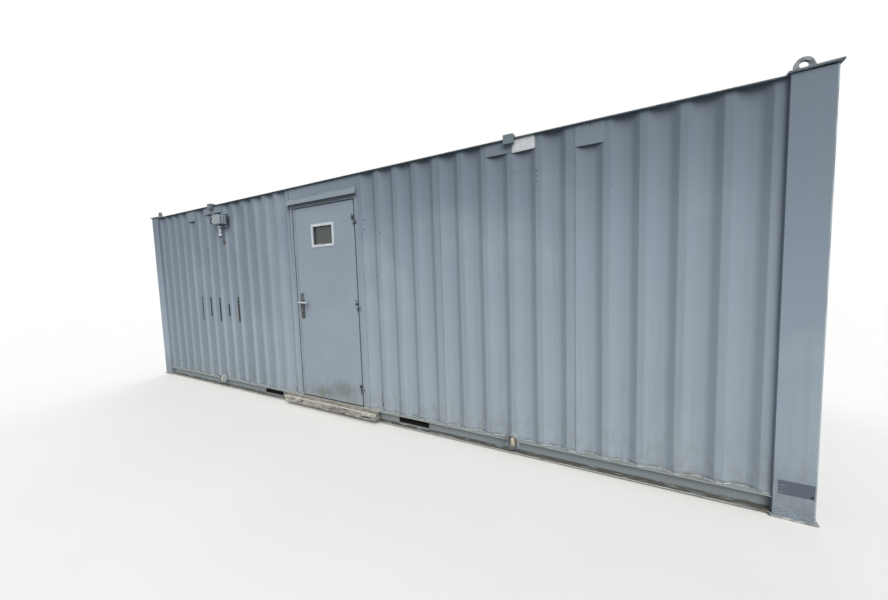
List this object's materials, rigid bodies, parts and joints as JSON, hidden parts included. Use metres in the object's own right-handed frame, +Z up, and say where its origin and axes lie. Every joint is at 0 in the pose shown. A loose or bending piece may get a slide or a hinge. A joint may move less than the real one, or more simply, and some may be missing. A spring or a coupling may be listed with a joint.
{
  "type": "portable site cabin",
  "caption": "Portable steel site cabin with corrugated walls, a steel door with a vision panel, corner posts with lifting eyes and fork pockets.",
  "frame": {"origin": "centre of the whole bounding box at the level of the ground under the corner plates", "axes": "+Z up, +X along the cabin to the right of somebody who faces the door, the door side faces -Y"},
  "size_m": [7.344, 2.83, 2.487],
  "materials": {
    "wall_paint": "satin",
    "frame_paint": "satin",
    "door_paint": "satin",
    "step_paint": "worn",
    "white_trim": "matte",
    "sign_face": "matte",
    "stainless": "brushed",
    "hinge_steel": "satin",
    "galvanised": "matte",
    "underframe": "matte",
    "deck_board": "matte",
    "lining_board": "matte",
    "drain_plastic": "matte",
    "inlet_housing": "matte",
    "dark_glass": "glossy"
  },
  "bodies": {
    "cabin": {"front_sheet_left": "wall_paint", "front_sheet_right": "wall_paint", "back_sheet": "wall_paint", "end_sheet_left": "wall_paint", "end_sheet_right": "wall_paint", "door_panel_sides": "wall_paint", "door_panel_over": "wall_paint", "corner_posts": "frame_paint", "base_plates": "frame_paint", "cap_plates": "frame_paint", "lifting_lugs": "frame_paint", "base_rail_flanges": "frame_paint", "base_rail_webs": "frame_paint", "base_rails_end": "frame_paint", "fork_pocket_plates": "frame_paint", "fork_pocket_sides": "frame_paint", "roof_edge_bars": "frame_paint", "cover_plates": "wall_paint", "canopy": "wall_paint", "door_jambs": "door_paint", "door_frame_head": "door_paint", "door_sill": "galvanised", "door_step": "step_paint", "hinges_frame_side": "hinge_steel", "roof_sheet": "galvanised", "top_rails_long": "underframe", "top_rails_end": "underframe", "floor_joists": "underframe", "floor_deck": "deck_board", "side_linings": "lining_board", "end_linings": "lining_board", "lining_over_door": "lining_board", "ceiling": "lining_board", "rain_boxes": "frame_paint", "drain_elbows": "drain_plastic", "drain_hoods": "frame_paint", "power_inlet": "inlet_housing", "power_inlet_lid": "inlet_housing", "sign_plate": "sign_face"},
    "door": {"door_leaf": "door_paint", "vision_frame": "white_trim", "vision_glass": "dark_glass", "lock_plates": "stainless", "hinges_leaf_side": "hinge_steel"},
    "lever": {"lever_handle": "stainless"}
  },
  "joints": [
    {"name": "door_hinge", "type": "hinge", "parent": "cabin", "child": "door", "pos_m": [0.4125, -1.3205, 1.141], "axis": [0, 0, 1], "range_deg": [0, 110]},
    {"name": "lever_turn", "type": "hinge", "parent": "door", "child": "lever", "pos_m": [-0.388, -1.2895, 1.16], "axis": [0, 1, 0], "range_deg": [0, 45], "stiffness_Nm_per_rad": 1.5, "springref_deg": -28.65}
  ]
}
